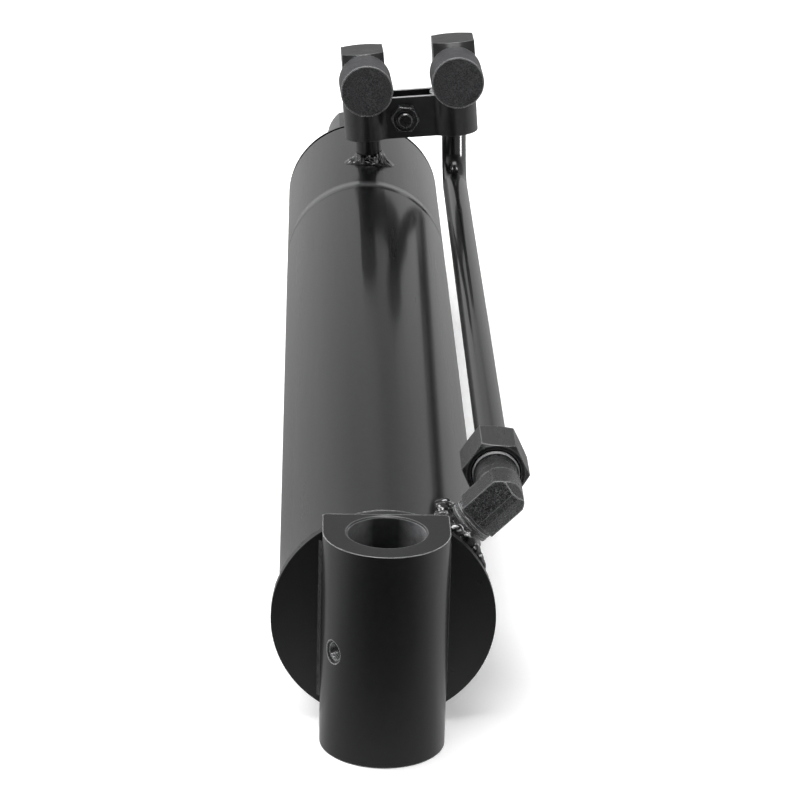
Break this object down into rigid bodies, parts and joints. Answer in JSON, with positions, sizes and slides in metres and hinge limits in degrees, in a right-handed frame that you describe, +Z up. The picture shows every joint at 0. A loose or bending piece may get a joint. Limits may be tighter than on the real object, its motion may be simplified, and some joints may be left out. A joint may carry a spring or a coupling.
{
  "type": "telescopic hydraulic cylinder",
  "caption": "Telescopic double-acting hydraulic cylinder with a cross-tube base, pin-eye plunger, clamped hard line and capped hose ports at the head.",
  "frame": {"origin": "middle of the base cross tube's pin bore, on the pin axis", "axes": "+Y along the cylinder from the base towards the rod end, +Z along the base pin towards the side that carries the hose ports, +X to the right when looking along +Y with +Z up"},
  "size_m": [0.1343, 0.9312, 0.1991],
  "materials": {
    "satin_black_paint": "satin black paint over steel",
    "machined_black_paint": "thin black coat over turned steel",
    "gloss_black_paint": "glossy black paint on drawn tube",
    "forged_black_paint": "black coat over sandy forging skin",
    "weld_paint": "glossy black paint over weld beads",
    "gland_paint": "lighter turned ring, thin paint",
    "gland_steel": "turned steel",
    "hard_chrome": "ground and polished hard chrome",
    "honed_steel": "honed steel",
    "cast_iron_piston": "turned ductile iron",
    "bearing_fabric": "fabric-filled bearing resin",
    "seal_polymer": "polyurethane seal",
    "wiper_rubber": "moulded wiper",
    "nitrile": "nitrile",
    "liner_rubber": "clamp liner rubber",
    "zinc_steel": "zinc plate",
    "black_oxide": "semi-gloss black fastener coat",
    "cap_plastic": "moulded matte black plastic with a sandy end"
  },
  "bodies": {
    "barrel": {"base_cross_tube": "satin_black_paint", "cross_tube_weld": "weld_paint", "base_plate": "machined_black_paint", "base_plate_weld": "weld_paint", "barrel_tube": "satin_black_paint", "base_port_boss": "weld_paint", "base_port_weld": "weld_paint", "base_port_elbow": "forged_black_paint", "tube_nut": "machined_black_paint", "tube_ferrule": "zinc_steel", "transfer_tube": "gloss_black_paint", "head_port_riser": "satin_black_paint", "head_port_weld": "weld_paint", "head_port_elbow": "forged_black_paint", "base_line_elbow": "forged_black_paint", "clamp_front_plate": "satin_black_paint", "clamp_rear_plate": "satin_black_paint", "clamp_liners": "liner_rubber", "clamp_bolt": "black_oxide", "clamp_nut": "black_oxide", "clamp_washers": "black_oxide", "barrel_gland": "gland_paint", "gland_wear_band": "bearing_fabric", "gland_rod_seal": "seal_polymer", "gland_wiper": "wiper_rubber", "gland_o_ring": "nitrile"},
    "sleeve": {"sleeve_outer_tube": "hard_chrome", "sleeve_inner_tube": "honed_steel", "sleeve_piston": "cast_iron_piston", "sleeve_piston_seal": "seal_polymer", "sleeve_wear_ring": "bearing_fabric", "sleeve_gland": "gland_steel", "sleeve_wear_band": "bearing_fabric", "sleeve_rod_seal": "seal_polymer", "sleeve_wiper": "wiper_rubber", "sleeve_o_ring": "nitrile"},
    "plunger": {"plunger": "hard_chrome", "plunger_piston": "cast_iron_piston", "plunger_piston_seal": "seal_polymer", "plunger_wear_ring": "bearing_fabric", "plunger_lock_nut": "gland_steel"},
    "head_cap": {"head_port_cap": "cap_plastic"},
    "line_cap": {"base_line_cap": "cap_plastic"}
  },
  "joints": [
    {"name": "sleeve_slide", "type": "slide", "parent": "barrel", "child": "sleeve", "axis": [0, 1, 0], "range_m": [0, 0.55]},
    {"name": "plunger_slide", "type": "slide", "parent": "sleeve", "child": "plunger", "axis": [0, 1, 0], "range_m": [0, 0.56]},
    {"name": "head_cap_off", "type": "slide", "parent": "barrel", "child": "head_cap", "axis": [0.0348, -0.9994, 0.003], "range_m": [0, 0.03]},
    {"name": "line_cap_off", "type": "slide", "parent": "barrel", "child": "line_cap", "axis": [0.0174, -0.9998, 0.0015], "range_m": [0, 0.03]}
  ]
}
